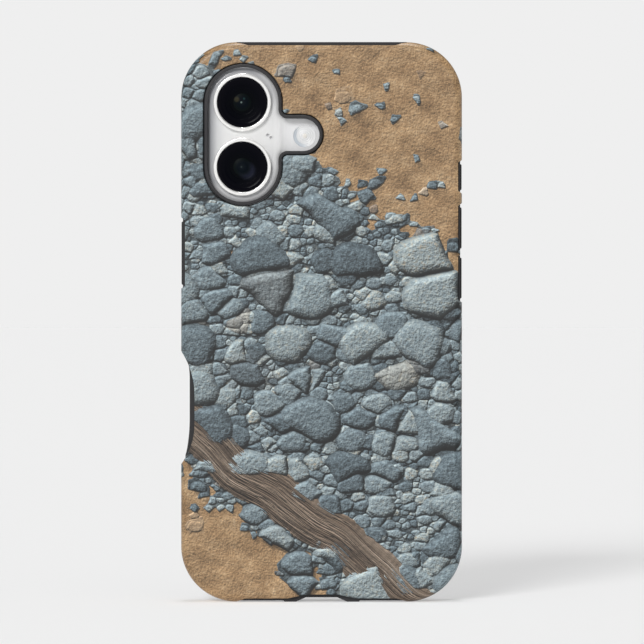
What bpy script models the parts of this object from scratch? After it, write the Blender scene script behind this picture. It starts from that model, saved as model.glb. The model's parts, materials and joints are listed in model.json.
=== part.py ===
"""A smartphone in a two-layer protective case, standing upright on its bottom edge.

Metres, +Z up. The screen faces +Y and the cameras face -Y, so X runs to the right as the back is
looked at. The origin is on the floor, under the middle of the bounding box. A hard shell clips over
a rubber liner, which holds the phone. Four button covers of the liner press the phone's own keys.
"""

import math

import bmesh
import bpy

# Case outline, and the layers of its side wall from the outside in.
WIDTH, HEIGHT = 0.0766, 0.1526
CORNER = 0.0151
GAP = 0.0003
SHELL_WALL, LINER_WALL = 0.0009, 0.0010
LINER_INSET = SHELL_WALL + GAP
PHONE_INSET = LINER_INSET + LINER_WALL + GAP

# Layers along Y, from the rim round the cameras to the lip in front of the screen.
PHONE_DEPTH = 0.0078
SHELL_BACK, LINER_BACK = 0.0011, 0.0010
RIM_RISE, LIP_RISE, LIP_DEPTH = 0.0005, 0.0012, 0.0014
LIP_INSET, LIP_OVERLAP, LIP_STEP, LIP_BEVEL = 0.0009, 0.0008, 0.00005, 0.0004
LIP_JOIN = 0.0002
EDGE_ROUND, FRONT_BEVEL = 0.0022, 0.0004
DEPTH = RIM_RISE + SHELL_BACK + LINER_BACK + 2 * GAP + PHONE_DEPTH + LIP_RISE
REAR_Y, FRONT_Y = -DEPTH / 2, DEPTH / 2
SHELL_REAR_Y = REAR_Y + RIM_RISE
LINER_REAR_Y = SHELL_REAR_Y + SHELL_BACK + GAP
PHONE_REAR_Y = LINER_REAR_Y + LINER_BACK + GAP
PHONE_MID_Y = PHONE_REAR_Y + PHONE_DEPTH / 2
PHONE_FRONT_Y = PHONE_REAR_Y + PHONE_DEPTH
LIP_Y = FRONT_Y - LIP_DEPTH

# Camera opening in the liner: an upright pill with an ear for the flash.
PILL_X, PILL_Z = -0.0214, 0.1273
PILL_RADIUS, PILL_HALF = 0.00957, 0.01825
EAR_END_X, EAR_HALF = -0.00066, 0.00436
FILLET = 0.0025
RIM_WIDTH = 0.0013

# Phone cameras, on a raised pill of the back glass that reaches in under the liner's rim.
PLATEAU_GROW, PLATEAU_RISE, PLATEAU_ROUND = 0.0003, 0.0017, 0.0008
LENS_X, LENS_Z = -0.0216, (0.1361, 0.1185)
RING_RADIUS, RING_WALL, RING_RISE, RING_BEVEL = 0.0078, 0.0007, 0.0011, 0.0003
LENS_SINK = 0.0002
FLASH_X, FLASH_Z, FLASH_RADIUS = -0.0046, 0.1271, 0.0031

# Phone layers.
GLASS_DEPTH, GLASS_INSET, GLASS_BEVEL = 0.0007, 0.0004, 0.0003
FRAME_EDGE, FRAME_TUCK = 0.0006, 0.0002

# Side keys as (name, side, middle Z, length and inset of the cover). Side -1 is -X.
KEYS = (
    ("power", -1, 0.0951, 0.0173, 0.0001),
    ("action", 1, 0.1159, 0.0071, 0.0001),
    ("volume_up", 1, 0.1020, 0.0113, 0.0003),
    ("volume_down", 1, 0.0883, 0.0112, 0.0003),
)
COVER_DEPTH, COVER_ROUND = 0.0038, 0.0011
KEY_DEPTH, KEY_RISE, KEY_SINK, KEY_ROUND = 0.0026, 0.0004, 0.0010, 0.0012
KEY_SHORTER, PRESS_ROOM = 0.0020, 0.0003
CAMERA_KEY_Z, CAMERA_KEY_LENGTH = 0.0558, 0.0150

# Where the shell leaves the liner bare, as depths in from the case's outline.
BARE, BRIDGE_DEPTH, RAMP = SHELL_WALL + 0.00004, 0.0005, 0.0010
SCALLOP_LOW, SCALLOP_HIGH = 0.0378, 0.0690
SCALLOP_LOW_RAMP, SCALLOP_HIGH_RAMP = 0.0119, 0.0079
SCALLOP_SHELL, SCALLOP_LINER = 0.0037, 0.0024
SCALLOP_STEPS, SCALLOP_POWER = 7, 2.2
TOP_HALF, TOP_INSET, BOTTOM_HALF = 0.0223, 0.0001, 0.0213
BULGE_SHORTER, BULGE_RAMP = 0.0013, 0.0008
PORT_FLAT, PORT_RAMP = 0.0043, 0.0048
PORT_SHELL, PORT_LINER = 0.0020, 0.0012
FOOT_IN, FOOT_OUT, SPEAKER_RECESS = 0.0070, 0.0101, 0.0005

# Openings through the liner's wall, and the port in the phone.
PORT_HOLE, PORT_HOLE_DEPTH = 0.0132, 0.0046
SPEAKER_X, SPEAKER_LENGTH, SPEAKER_DEPTH = 0.0158, 0.0092, 0.0026
SLOT_ROUND = 0.45
CAMERA_HOLE_LOW, CAMERA_HOLE_HIGH = 0.0410, 0.0671
CAMERA_HOLE_CLEAR, CAMERA_HOLE_ROUND = 0.0005, 0.0010
PORT_WIDTH, PORT_DEPTH, PORT_REACH, PORT_ROUND = 0.0090, 0.0032, 0.0065, 0.0014
TONGUE_WIDTH, TONGUE_DEPTH, TONGUE_SHORTER, TONGUE_ROUND = 0.0067, 0.0007, 0.0010, 0.0002
SCREW_X, SCREW_RADIUS, SCREW_LENGTH, SCREW_ROUND = 0.0057, 0.00065, 0.0012, 0.98

# How far a cutter runs past what it cuts, and how finely round outlines are stepped.
CLEAR = 0.002
ARC_STEPS, FILLET_STEPS, EAR_STEPS, ROUND_STEPS = 10, 4, 12, 40
MERGE = 1e-7


def clear_scene():
    for item in list(bpy.data.objects):
        bpy.data.objects.remove(item, do_unlink=True)


def material(name, colour, roughness, metallic=0.0):
    made = bpy.data.materials.new(name)
    made.use_nodes = True
    shader = made.node_tree.nodes["Principled BSDF"]
    shader.inputs["Base Color"].default_value = (*colour, 1.0)
    shader.inputs["Roughness"].default_value = roughness
    shader.inputs["Metallic"].default_value = metallic
    return made


def link(name, mesh, look=None):
    body = bpy.data.objects.new(name, mesh)
    bpy.context.collection.objects.link(body)
    if look:
        mesh.materials.append(look)
    return body


def arc(centre, radius, start, end, steps):
    """Points of an arc in the XZ plane, from one angle to another in degrees."""
    turns = [math.radians(start + (end - start) * i / steps) for i in range(steps + 1)]
    return [(centre[0] + radius * math.cos(a), centre[1] + radius * math.sin(a)) for a in turns]


def outline(inset, left=(), right=(), top=(), bottom=()):
    """Case outline, counterclockwise as the back is looked at. Each side may list (place, inset)."""
    x, z = WIDTH / 2, HEIGHT / 2
    reach, radius = (x - CORNER, z - CORNER), CORNER - inset
    points = [(x - depth, place) for place, depth in right]
    points += arc((reach[0], z + reach[1]), radius, 0, 90, ARC_STEPS)
    points += [(place, HEIGHT - depth) for place, depth in reversed(top)]
    points += arc((-reach[0], z + reach[1]), radius, 90, 180, ARC_STEPS)
    points += [(depth - x, place) for place, depth in reversed(left)]
    points += arc((-reach[0], z - reach[1]), radius, 180, 270, ARC_STEPS)
    points += [(place, depth) for place, depth in bottom]
    points += arc((reach[0], z - reach[1]), radius, 270, 360, ARC_STEPS)
    return points


def notch(low, high, ramp, base, depth):
    """A step from the base inset to a depth, between low and high, with slanted ends."""
    return [(low - ramp, base), (low, depth), (high, depth), (high + ramp, base)]


def scallop(base, depth):
    """The long dip beside the camera key: steep where it starts, easing into a flat floor."""
    shares = [i / SCALLOP_STEPS for i in range(SCALLOP_STEPS + 1)]
    fall = [base + (depth - base) * (1 - (1 - u) ** SCALLOP_POWER) for u in shares]
    low = [(SCALLOP_LOW + SCALLOP_LOW_RAMP * u, d) for u, d in zip(shares, fall)]
    high = [(SCALLOP_HIGH - SCALLOP_HIGH_RAMP * u, d) for u, d in zip(shares, fall)]
    return low + high[::-1]


def mirrored(stations):
    """Stations at +X, with the same ones at -X before them."""
    return [(-place, depth) for place, depth in reversed(stations)] + stations


def key_span(name):
    """Low and high Z of a key's cover."""
    for key, _, middle, length, _ in KEYS:
        if key == name:
            return middle - length / 2, middle + length / 2
    raise KeyError(name)


def shell_windows():
    """The shell's bare places: the outline that it is cut to, past its side wall elsewhere."""
    power, action = key_span("power"), key_span("action")
    up, down = key_span("volume_up"), key_span("volume_down")
    side = notch(action[0] - GAP, action[1] + GAP, RAMP, -CLEAR, BARE)
    volume = [(down[0] - GAP - RAMP, -CLEAR), (down[0] - GAP, BARE), (down[1] + GAP, BARE)]
    volume += [(down[1] + 2 * GAP, BRIDGE_DEPTH), (up[0] - 2 * GAP, BRIDGE_DEPTH)]
    volume += [(up[0] - GAP, BARE), (up[1] + GAP, BARE), (up[1] + GAP + RAMP, -CLEAR)]
    left = scallop(-CLEAR, SCALLOP_SHELL) + notch(power[0] - GAP, power[1] + GAP, RAMP, -CLEAR, BARE)
    port = [(PORT_FLAT, PORT_SHELL), (PORT_FLAT + PORT_RAMP, BARE)]
    port += [(BOTTOM_HALF, BARE), (BOTTOM_HALF + RAMP, -CLEAR)]
    top = notch(-TOP_HALF, TOP_HALF, RAMP, -CLEAR, BARE)
    return outline(-CLEAR, left, volume + side, top, mirrored(port))


def liner_edge():
    """The liner's outer edge: under the shell, and out to the case's outline where it is bare."""
    inner_half, top_half = BOTTOM_HALF - BULGE_SHORTER, TOP_HALF - BULGE_SHORTER
    bottom = [(PORT_FLAT, PORT_LINER), (FOOT_IN, 0.0), (FOOT_OUT, 0.0)]
    bottom += [(FOOT_OUT + SPEAKER_RECESS, SPEAKER_RECESS), (inner_half, SPEAKER_RECESS)]
    bottom += [(inner_half + BULGE_RAMP, LINER_INSET)]
    top = notch(-top_half, top_half, BULGE_RAMP, LINER_INSET, TOP_INSET)
    return outline(LINER_INSET, scallop(LINER_INSET, SCALLOP_LINER), (), top, mirrored(bottom))


def lip_edge(inset):
    """The liner's front lip, which stays just inside the scallop and the dip at the port."""
    port = [(PORT_FLAT, max(inset, PORT_LINER + LIP_STEP)), (FOOT_IN, inset), (FOOT_OUT, inset)]
    dip = scallop(inset, SCALLOP_LINER + inset - LIP_INSET + LIP_STEP)
    return outline(inset, dip, (), (), mirrored(port))


def camera_outline(grow):
    """Pill with an ear, counterclockwise as the back is looked at, grown outwards by some amount."""
    radius, straight = PILL_RADIUS + grow, PILL_HALF - PILL_RADIUS
    half, round_off = EAR_HALF + grow, FILLET - grow
    side_x = PILL_X + radius
    fillet_x, fillet_z = side_x + round_off, half + round_off
    end_x = EAR_END_X + grow - half
    points = arc((PILL_X, PILL_Z - straight), radius, 180, 360, 2 * ARC_STEPS)
    points += arc((fillet_x, PILL_Z - fillet_z), round_off, 180, 90, FILLET_STEPS)
    points += arc((end_x, PILL_Z), half, -90, 90, EAR_STEPS)
    points += arc((fillet_x, PILL_Z + fillet_z), round_off, 270, 180, FILLET_STEPS)
    points += arc((PILL_X, PILL_Z + straight), radius, 0, 180, 2 * ARC_STEPS)
    return points


def plateau_outline(grow):
    """The raised pill that carries the cameras, grown outwards by some amount."""
    straight, radius = PILL_HALF - PILL_RADIUS, PILL_RADIUS + PLATEAU_GROW + grow
    points = arc((PILL_X, PILL_Z + straight), radius, 0, 180, 2 * ARC_STEPS)
    return points + arc((PILL_X, PILL_Z - straight), radius, 180, 360, 2 * ARC_STEPS)


def circle(centre, radius):
    return arc(centre, radius, 0, 360, ROUND_STEPS)[:-1]


def loft(name, rings, look=None):
    """A closed body through outlines at rising Y, as (y, points), all with as many points."""
    mesh = bpy.data.meshes.new(name)
    form = bmesh.new()
    loops = [[form.verts.new((x, y, z)) for x, z in points] for y, points in rings]
    count = len(loops[0])
    for near, far in zip(loops, loops[1:]):
        for i in range(count):
            j = (i + 1) % count
            form.faces.new((near[i], near[j], far[j], far[i]))
    form.faces.new(loops[0])
    form.faces.new(loops[-1][::-1])
    bmesh.ops.remove_doubles(form, verts=form.verts, dist=MERGE)
    bmesh.ops.recalc_face_normals(form, faces=form.faces)
    form.to_mesh(mesh)
    form.free()
    return link(name, mesh, look)


def prism(name, points, low_y, high_y, look=None):
    return loft(name, [(low_y, points), (high_y, points)], look)


def bar(name, low, high, radius, axis, look=None):
    """A box between two corners, with the four edges along one axis rounded."""
    mesh = bpy.data.meshes.new(name)
    form = bmesh.new()
    bmesh.ops.create_cube(form, size=1.0)
    for vertex in form.verts:
        vertex.co = [a + (b - a) * (c + 0.5) for a, b, c in zip(low, high, vertex.co)]
    along = [e for e in form.edges if abs((e.verts[0].co - e.verts[1].co).normalized()[axis]) > 0.9]
    bmesh.ops.bevel(form, geom=along, offset=radius, segments=4, profile=0.5, affect="EDGES", material=-1)
    bmesh.ops.recalc_face_normals(form, faces=form.faces)
    form.to_mesh(mesh)
    form.free()
    return link(name, mesh, look)


def combine(target, other, operation):
    """Joins, cuts or keeps what another body shares, and leaves that body out of the model."""
    modifier = target.modifiers.new(other.name, "BOOLEAN")
    modifier.operation = operation
    modifier.object = other
    other.hide_render = True
    other.display_type = "WIRE"


def smooth(body, angle=35.0):
    body.data.shade_smooth()
    body.data.set_sharp_from_angle(angle=math.radians(angle))


def rounding(radius, steps):
    """(inset, depth) pairs round a quarter circle, from a face to a side wall."""
    turns = [math.pi / 2 * i / steps for i in range(steps + 1)]
    return [(radius * (1 - math.sin(a)), radius * (1 - math.cos(a))) for a in turns]


def side_span(side, outer, inner):
    """Low and high X of something between two insets of the case's side."""
    ends = (side * (WIDTH / 2 - outer), side * (WIDTH / 2 - inner))
    return min(ends), max(ends)


def make_shell(look):
    """Hard printed shell: the back panel, and a side wall that is open at the bare places."""
    front_y = LIP_Y - GAP
    rings = [(SHELL_REAR_Y + depth, outline(inset)) for inset, depth in rounding(EDGE_ROUND, 4)]
    rings += [(front_y - FRONT_BEVEL, outline(0.0)), (front_y, outline(FRONT_BEVEL))]
    shell = loft("case_shell", rings, look)
    windows = prism("shell_windows", shell_windows(), REAR_Y - CLEAR, FRONT_Y + CLEAR)
    combine(shell, windows, "INTERSECT")
    hollow = prism("shell_hollow", outline(SHELL_WALL), SHELL_REAR_Y + SHELL_BACK, FRONT_Y + CLEAR)
    combine(shell, hollow, "DIFFERENCE")
    hole = prism("shell_camera_hole", camera_outline(RIM_WIDTH), REAR_Y - CLEAR, FRONT_Y)
    combine(shell, hole, "DIFFERENCE")
    smooth(shell)


def make_liner(look):
    """Rubber liner: back wall, side wall, front lip, camera rim and the openings at the edges."""
    liner = prism("case_liner", liner_edge(), LINER_REAR_Y, LIP_Y + LIP_JOIN, look)
    lip_rings = [(LIP_Y, lip_edge(LIP_INSET)), (FRONT_Y - LIP_BEVEL, lip_edge(LIP_INSET))]
    lip_rings += [(FRONT_Y, lip_edge(LIP_INSET + LIP_BEVEL))]
    combine(liner, loft("liner_lip", lip_rings), "UNION")
    rim = prism("liner_rim", camera_outline(RIM_WIDTH - GAP), REAR_Y, LINER_REAR_Y + LINER_BACK / 2)
    combine(liner, rim, "UNION")
    pocket = outline(PHONE_INSET - GAP)
    pocket_rings = (PHONE_REAR_Y - GAP, PHONE_FRONT_Y + GAP)
    combine(liner, prism("liner_pocket", pocket, *pocket_rings), "DIFFERENCE")
    screen = outline(PHONE_INSET + LIP_OVERLAP)
    combine(liner, prism("liner_screen", screen, PHONE_MID_Y, FRONT_Y + CLEAR), "DIFFERENCE")
    camera = prism("liner_camera_hole", camera_outline(0.0), REAR_Y - CLEAR, PHONE_MID_Y)
    combine(liner, camera, "DIFFERENCE")
    top_y = PHONE_REAR_Y - PLATEAU_RISE - GAP
    room = prism("liner_plateau_room", plateau_outline(GAP), top_y, PHONE_MID_Y)
    combine(liner, room, "DIFFERENCE")
    for cutter in liner_openings():
        combine(liner, cutter, "DIFFERENCE")
    smooth(liner)


def liner_openings():
    """Cutters through the liner's side wall: keys, camera key, port and the two speaker slots."""
    mid = PHONE_MID_Y
    for name, side, middle, length, _ in KEYS:
        x = side_span(side, -CLEAR, PHONE_INSET + CLEAR)
        half, deep = length / 2 + GAP, COVER_DEPTH / 2 + GAP
        low, high = (x[0], mid - deep, middle - half), (x[1], mid + deep, middle + half)
        yield bar("liner_hole_" + name, low, high, COVER_ROUND + GAP, 0)
    x = side_span(-1, -CLEAR, PHONE_INSET)
    deep = PHONE_DEPTH / 2 + CAMERA_HOLE_CLEAR
    low, high = (x[0], mid - deep, CAMERA_HOLE_LOW), (x[1], mid + deep, CAMERA_HOLE_HIGH)
    yield bar("liner_hole_camera_key", low, high, CAMERA_HOLE_ROUND, 0)
    slots = [("port", 0.0, PORT_HOLE, PORT_HOLE_DEPTH)]
    slots += [("speaker", SPEAKER_X, SPEAKER_LENGTH, SPEAKER_DEPTH)]
    slots += [("microphone", -SPEAKER_X, SPEAKER_LENGTH, SPEAKER_DEPTH)]
    for name, middle, length, depth in slots:
        low = (middle - length / 2, mid - depth / 2, -CLEAR)
        high = (middle + length / 2, mid + depth / 2, PHONE_INSET + CLEAR)
        yield bar("liner_hole_" + name, low, high, SLOT_ROUND * depth, 2)


def make_keys(rubber, metal):
    """For each key, the liner's raised cover and the phone's own key behind it."""
    mid = PHONE_MID_Y
    for name, side, middle, length, inset in KEYS:
        top = PHONE_INSET - KEY_RISE
        x = side_span(side, inset, top - GAP)
        half, deep = length / 2, COVER_DEPTH / 2
        low, high = (x[0], mid - deep, middle - half), (x[1], mid + deep, middle + half)
        smooth(bar("cover_" + name, low, high, COVER_ROUND, 0, rubber))
        x = side_span(side, top, PHONE_INSET + KEY_SINK)
        half, deep = (length - KEY_SHORTER) / 2, KEY_DEPTH / 2
        low, high = (x[0], mid - deep, middle - half), (x[1], mid + deep, middle + half)
        smooth(bar("key_" + name, low, high, KEY_ROUND, 0, metal))
    x = side_span(-1, PHONE_INSET, PHONE_INSET + KEY_SINK)
    half, deep = CAMERA_KEY_LENGTH / 2, KEY_DEPTH / 2
    low, high = (x[0], mid - deep, CAMERA_KEY_Z - half), (x[1], mid + deep, CAMERA_KEY_Z + half)
    smooth(bar("key_camera", low, high, KEY_ROUND, 0, metal))


def make_frame(look):
    """The phone's body between its two glasses, with a pocket for each key and the port."""
    low_y = PHONE_REAR_Y + GLASS_DEPTH + GAP
    high_y = PHONE_FRONT_Y - GLASS_DEPTH - GAP
    side, tucked = outline(PHONE_INSET), outline(PHONE_INSET + FRAME_TUCK)
    rings = [(low_y, tucked), (low_y + FRAME_EDGE, side), (high_y - FRAME_EDGE, side), (high_y, tucked)]
    frame = loft("phone_frame", rings, look)
    deep = KEY_DEPTH / 2 + GAP
    spans = [(name, side, middle, length - KEY_SHORTER) for name, side, middle, length, _ in KEYS]
    for name, side, middle, length in spans + [("camera", -1, CAMERA_KEY_Z, CAMERA_KEY_LENGTH)]:
        x = side_span(side, 0.0, PHONE_INSET + KEY_SINK + PRESS_ROOM + GAP)
        half = length / 2 + GAP
        low = (x[0], PHONE_MID_Y - deep, middle - half)
        high = (x[1], PHONE_MID_Y + deep, middle + half)
        combine(frame, bar("frame_pocket_" + name, low, high, KEY_ROUND + GAP, 0), "DIFFERENCE")
    low = (-PORT_WIDTH / 2, PHONE_MID_Y - PORT_DEPTH / 2, 0.0)
    high = (PORT_WIDTH / 2, PHONE_MID_Y + PORT_DEPTH / 2, PHONE_INSET + PORT_REACH)
    combine(frame, bar("frame_port", low, high, PORT_ROUND, 2), "DIFFERENCE")
    reach, top_z = SCREW_RADIUS + GAP, PHONE_INSET + SCREW_LENGTH + 2 * GAP
    for name, x in (("left", -SCREW_X), ("right", SCREW_X)):
        low, high = (x - reach, PHONE_MID_Y - reach, 0.0), (x + reach, PHONE_MID_Y + reach, top_z)
        hole = bar("frame_screw_hole_" + name, low, high, SCREW_ROUND * reach, 2)
        combine(frame, hole, "DIFFERENCE")
    smooth(frame)


def make_port_parts(tongue_look, metal):
    """The contact tongue inside the port, and the two small screws beside it."""
    half, deep = TONGUE_WIDTH / 2, TONGUE_DEPTH / 2
    low = (-half, PHONE_MID_Y - deep, PHONE_INSET + TONGUE_SHORTER)
    high = (half, PHONE_MID_Y + deep, PHONE_INSET + PORT_REACH - GAP)
    smooth(bar("port_tongue", low, high, TONGUE_ROUND, 1, tongue_look))
    for name, x in (("left", -SCREW_X), ("right", SCREW_X)):
        low = (x - SCREW_RADIUS, PHONE_MID_Y - SCREW_RADIUS, PHONE_INSET + GAP)
        high = (x + SCREW_RADIUS, PHONE_MID_Y + SCREW_RADIUS, PHONE_INSET + GAP + SCREW_LENGTH)
        smooth(bar("screw_" + name, low, high, SCREW_ROUND * SCREW_RADIUS, 2, metal))


def make_glasses(back_look, front_look):
    """Back glass with its raised camera pill and a hole for the flash, and the display glass."""
    inset = PHONE_INSET + GLASS_INSET
    inner_y = PHONE_REAR_Y + GLASS_DEPTH
    edge_y = PHONE_REAR_Y + GLASS_BEVEL
    rings = [(PHONE_REAR_Y, outline(inset + GLASS_BEVEL)), (edge_y, outline(inset))]
    back = loft("back_glass", rings + [(inner_y, outline(inset))], back_look)
    top_y = PHONE_REAR_Y - PLATEAU_RISE
    edge = [(top_y + depth, -inset) for inset, depth in rounding(PLATEAU_ROUND, 3)]
    edge.append((edge_y, 0.0))
    combine(back, loft("plateau", [(y, plateau_outline(grow)) for y, grow in edge]), "UNION")
    hole = circle((FLASH_X, FLASH_Z), FLASH_RADIUS + GAP)
    combine(back, prism("flash_hole", hole, PHONE_REAR_Y - CLEAR, inner_y + CLEAR), "DIFFERENCE")
    smooth(back)
    rings = [(PHONE_FRONT_Y - GLASS_DEPTH, outline(inset))]
    rings += [(PHONE_FRONT_Y - GLASS_BEVEL, outline(inset))]
    rings += [(PHONE_FRONT_Y, outline(inset + GLASS_BEVEL))]
    smooth(loft("display_glass", rings, front_look))


def make_cameras(ring_look, lens_look, flash_look):
    """Two metal lens rings with their dark glasses, and the flash, flush in the back glass."""
    base_y = PHONE_REAR_Y - PLATEAU_RISE - GAP
    top_y = base_y - RING_RISE
    inner = RING_RADIUS - RING_WALL
    for name, z in zip(("upper", "lower"), LENS_Z):
        centre = (LENS_X, z)
        edge = [(top_y, RING_RADIUS - RING_BEVEL), (top_y + RING_BEVEL, RING_RADIUS)]
        edge.append((base_y, RING_RADIUS))
        ring = loft("lens_ring_" + name, [(y, circle(centre, r)) for y, r in edge], ring_look)
        hole = prism("ring_hole_" + name, circle(centre, inner), top_y - CLEAR, base_y + CLEAR)
        combine(ring, hole, "DIFFERENCE")
        smooth(ring)
        glass = circle(centre, inner - GAP)
        smooth(prism("lens_glass_" + name, glass, top_y + LENS_SINK, base_y, lens_look))
    inner_y = PHONE_REAR_Y + GLASS_DEPTH
    disc = circle((FLASH_X, FLASH_Z), FLASH_RADIUS)
    smooth(prism("flash", disc, PHONE_REAR_Y, inner_y, flash_look))


def main():
    clear_scene()
    print_look = material("printed_shell", (0.42, 0.34, 0.24), 0.38)
    rubber = material("black_rubber", (0.045, 0.044, 0.047), 0.62)
    white_metal = material("white_aluminium", (0.80, 0.80, 0.79), 0.35, 0.6)
    white_glass = material("white_glass", (0.90, 0.90, 0.90), 0.18)
    black_glass = material("black_glass", (0.01, 0.01, 0.012), 0.05)
    polished = material("polished_metal", (0.92, 0.92, 0.92), 0.15, 0.9)
    flash_look = material("flash_lens", (0.93, 0.90, 0.82), 0.25)
    make_shell(print_look)
    make_liner(rubber)
    make_keys(rubber, white_metal)
    make_frame(white_metal)
    make_port_parts(black_glass, polished)
    make_glasses(white_glass, black_glass)
    make_cameras(polished, black_glass, flash_look)


main()
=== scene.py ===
import json
import math

import bmesh
import bpy
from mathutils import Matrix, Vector


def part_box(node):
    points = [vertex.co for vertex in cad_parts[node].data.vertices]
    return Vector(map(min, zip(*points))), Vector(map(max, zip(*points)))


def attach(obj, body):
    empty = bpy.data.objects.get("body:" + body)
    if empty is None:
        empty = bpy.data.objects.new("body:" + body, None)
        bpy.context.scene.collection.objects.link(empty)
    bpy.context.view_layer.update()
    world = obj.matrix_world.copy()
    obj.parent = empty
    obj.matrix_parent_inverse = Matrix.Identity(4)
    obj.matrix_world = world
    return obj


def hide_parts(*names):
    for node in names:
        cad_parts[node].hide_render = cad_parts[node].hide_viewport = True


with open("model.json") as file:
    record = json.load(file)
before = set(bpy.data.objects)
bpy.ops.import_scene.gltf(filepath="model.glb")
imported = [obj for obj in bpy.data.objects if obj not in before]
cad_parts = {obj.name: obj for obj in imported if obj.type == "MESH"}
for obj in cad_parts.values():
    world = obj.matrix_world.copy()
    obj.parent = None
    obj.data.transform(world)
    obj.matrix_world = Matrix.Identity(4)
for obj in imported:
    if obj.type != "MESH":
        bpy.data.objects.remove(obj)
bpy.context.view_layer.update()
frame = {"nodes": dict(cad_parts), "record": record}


# Phone body. The aluminium frame that the two glasses are bonded to, milled from one bar, blasted
# with fine beads and anodised near white. The liner's openings show its port, its sound holes and
# the camera key's pocket.

MM = 0.001
TINY = 1e-6


class Wire:
    """One socket of a finish, which masks and tones are worked out with."""

    def __init__(self, finish, socket):
        self.finish, self.socket = finish, socket

    def of(self, operation, *others):
        return self.finish.maths(operation, self, *others)

    def also(self, name):
        """Another output of the same node."""
        return Wire(self.finish, self.socket.node.outputs[name])

    def __add__(self, other):
        return self.of("ADD", other)

    def __sub__(self, other):
        return self.of("SUBTRACT", other)

    def __rsub__(self, other):
        return self.finish.maths("SUBTRACT", other, self)

    def __mul__(self, other):
        return self.of("MULTIPLY", other)

    def __truediv__(self, other):
        return self.of("DIVIDE", other)

    __radd__, __rmul__ = __add__, __mul__

    def rise(self, start, end):
        """0 before start and 1 after end, with a smooth change between them."""
        settings = {"interpolation_type": "SMOOTHSTEP"}
        return self.finish.node("ShaderNodeMapRange", settings, {0: self, 1: start, 2: end})


class Finish:
    """A material whose nodes end in one Principled shader."""

    def __init__(self, name, **steady):
        self.material = bpy.data.materials.new(name)
        self.material.use_nodes = True
        self.tree = self.material.node_tree
        self.shader = self.tree.nodes["Principled BSDF"]
        for socket, value in steady.items():
            self.shader.inputs[socket.replace("_", " ")].default_value = value
        self.place = self.node("ShaderNodeTexCoord", {}, {}, "Object")
        self.x, self.y, self.z = self.split(self.place)

    def node(self, kind, settings, sockets, out=0):
        made = self.tree.nodes.new(kind)
        for name, value in settings.items():
            if name == "stops":
                self.set_stops(made.color_ramp, value)
            else:
                setattr(made, name, value)
        for socket, value in sockets.items():
            if isinstance(value, Wire):
                self.tree.links.new(value.socket, made.inputs[socket])
            else:
                made.inputs[socket].default_value = value
        return Wire(self, made.outputs[out])

    def set_stops(self, ramp, stops):
        while len(ramp.elements) < len(stops):
            ramp.elements.new(1.0)
        for element, (place, colour) in zip(ramp.elements, stops):
            element.position, element.color = place, (*colour, 1.0)

    def maths(self, operation, *terms):
        return self.node("ShaderNodeMath", {"operation": operation}, dict(enumerate(terms)))

    def split(self, vector):
        made = self.node("ShaderNodeSeparateXYZ", {}, {0: vector}).socket.node
        return [Wire(self, socket) for socket in made.outputs]

    def join(self, x, y, z):
        return self.node("ShaderNodeCombineXYZ", {}, {0: x, 1: y, 2: z})

    def vector(self, operation, *terms):
        out = "Value" if operation in ("LENGTH", "DOT_PRODUCT") else "Vector"
        settings = {"operation": operation}
        return self.node("ShaderNodeVectorMath", settings, dict(enumerate(terms)), out)

    def scaled(self, vector, factor):
        settings = {"operation": "SCALE"}
        return self.node("ShaderNodeVectorMath", settings, {0: vector, "Scale": factor})

    def off(self, x, z):
        """Distance from a line along Y through some x and z."""
        return self.vector("LENGTH", self.join(self.x - x, 0.0, self.z - z))

    def noise(self, place, size, detail=3.0, rough=0.5, out="Fac"):
        sockets = {"Vector": place, "Scale": 1.0 / size, "Detail": detail, "Roughness": rough}
        return self.node("ShaderNodeTexNoise", {"noise_dimensions": "3D"}, sockets, out)

    def mix(self, share, first, second, blend="MIX"):
        settings = {"data_type": "RGBA", "blend_type": blend}
        return self.node("ShaderNodeMix", settings, {0: share, 6: first, 7: second}, 2)

    def ramp(self, value, stops):
        return self.node("ShaderNodeValToRGB", {"stops": stops}, {0: value}, "Color")

    def show(self, **varying):
        """Links what changes over the surface to the shader."""
        for socket, wire in varying.items():
            self.tree.links.new(wire.socket, self.shader.inputs[socket.replace("_", " ")])

    def bump(self, height, depth):
        """Raises the surface by a height of 0 to 1 times a real depth."""
        self.show(Normal=self.node("ShaderNodeBump", {}, {"Height": height, "Distance": depth}))


def mould(name, form, *finishes):
    """Turns a bmesh into a piece with its finishes."""
    mesh = bpy.data.meshes.new(name)
    form.to_mesh(mesh)
    form.free()
    for finish in finishes:
        mesh.materials.append(finish.material)
    piece = bpy.data.objects.new(name, mesh)
    bpy.context.scene.collection.objects.link(piece)
    return piece


def bevel(form, edges, radius, steps):
    bmesh.ops.bevel(
        form, geom=edges, offset=radius, segments=steps, profile=0.5, affect="EDGES", material=-1
    )


def prism(corners, low_y, high_y):
    """A solid from an outline of (x, z, radius) corners, raised along Y, its corners rounded."""
    form = bmesh.new()
    base = form.faces.new([form.verts.new((x, low_y, z)) for x, z, _ in corners])
    raised = bmesh.ops.extrude_face_region(form, geom=[base])["geom"]
    far = [item for item in raised if isinstance(item, bmesh.types.BMVert)]
    bmesh.ops.translate(form, verts=far, vec=(0, high_y - low_y, 0))
    for x, z, radius in corners:
        if radius:
            ends = [v for v in form.verts if abs(v.co.x - x) + abs(v.co.z - z) < TINY]
            bevel(form, [form.edges.get(ends)], radius, 6 + round(radius / (0.6 * MM)))
    bmesh.ops.remove_doubles(form, verts=form.verts, dist=TINY)
    bmesh.ops.recalc_face_normals(form, faces=form.faces)
    return form


def round_rim(form, y, radius, steps):
    """Rounds the edges between the face at one Y and the walls that meet it."""
    rim = [e for e in form.edges if all(abs(v.co.y - y) < TINY for v in e.verts)]
    bevel(form, [e for e in rim if any(abs(f.normal.y) < 0.5 for f in e.link_faces)], radius, steps)
    return form


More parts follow.
